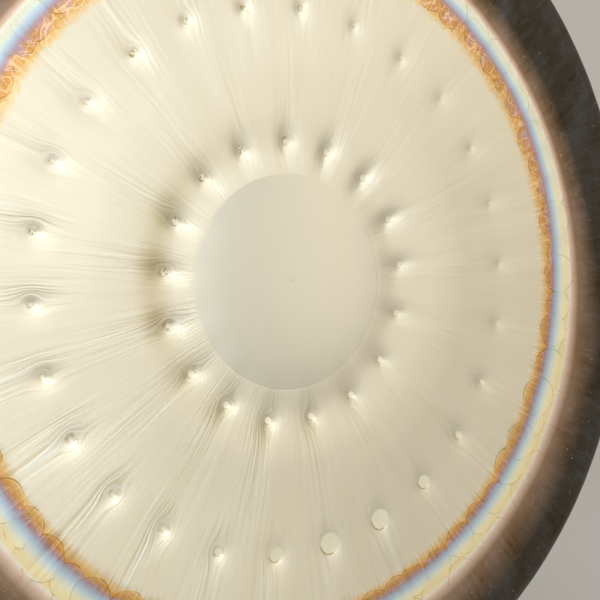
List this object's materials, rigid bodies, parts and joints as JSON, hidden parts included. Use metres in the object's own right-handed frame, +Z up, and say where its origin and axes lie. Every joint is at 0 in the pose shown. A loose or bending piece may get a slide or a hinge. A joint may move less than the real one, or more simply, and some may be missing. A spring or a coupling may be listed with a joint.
{
  "type": "tam tam gong",
  "caption": "Round hammered bronze gong with a turned-back rim, rings of punched dimples, a heat-tinted edge band and rubber-lined cord holes at the top.",
  "frame": {"origin": "middle of the gong's box, on its axis, halfway between the crown of the face and the back edge of the rim", "axes": "the face looks along -Y, the rim is turned back towards +Y, and +Z is up as the gong hangs from its two cord holes; +X is to the right seen from the front"},
  "size_m": [0.8, 0.06, 0.8],
  "materials": {
    "hammered_bronze": "hammered, scraped to a satin champagne colour inside a heat-tinted band, dark fire scale outside it and behind",
    "grommet_rubber": "matt black moulded rubber"
  },
  "bodies": {
    "root": {"gong_plate": "hammered_bronze", "left_grommet": "grommet_rubber", "right_grommet": "grommet_rubber"}
  },
  "joints": []
}
